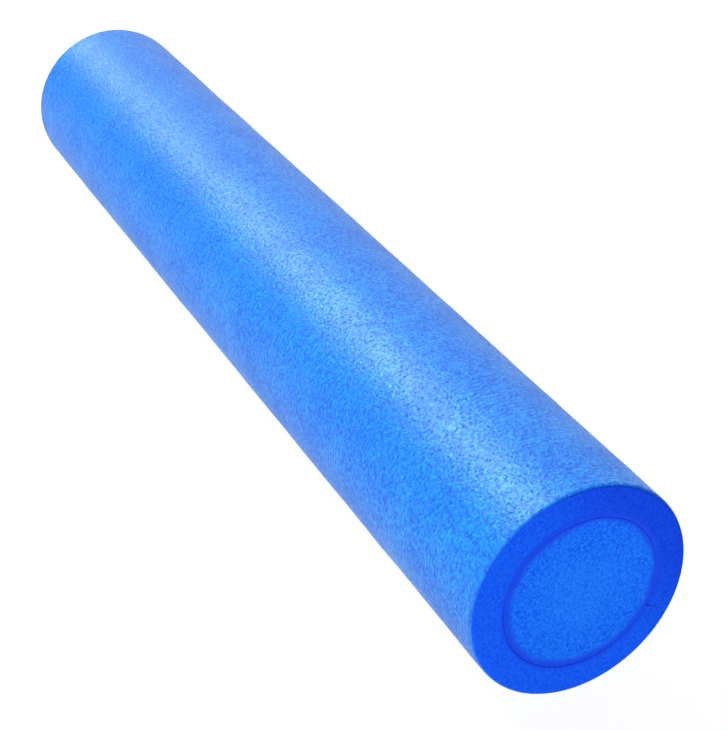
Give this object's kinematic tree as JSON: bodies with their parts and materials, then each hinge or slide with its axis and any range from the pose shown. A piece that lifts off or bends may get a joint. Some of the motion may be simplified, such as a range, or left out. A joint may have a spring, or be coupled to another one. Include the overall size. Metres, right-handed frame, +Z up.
{
  "type": "foam roller",
  "caption": "Long solid cylinder of firm closed-cell foam, a thick wrap welded round a core, to roll or lie on for massage, stretching and balance exercise.",
  "frame": {"origin": "on the floor, under the middle of the roller as it lies on its side", "axes": "+Z is up, +Y runs along the roller's length from the front end to the back end, and +X is across it, the way it rolls"},
  "size_m": [0.15, 0.9, 0.15],
  "materials": {
    "foam_core": "cut closed-cell foam, fine cells, matt",
    "foam_bond": "melted foam, dense and smooth",
    "foam_wrap": "cut closed-cell foam, even cells, matt",
    "foam_weld": "melted foam, dense and smooth",
    "foam_skin": "heat-pressed foam skin, pebbled, soft satin"
  },
  "bodies": {
    "root": {"core_rod": "foam_core", "core_bond": "foam_bond", "outer_wrap": "foam_wrap", "wrap_seam_weld": "foam_weld", "outer_skin": "foam_skin"}
  },
  "joints": []
}
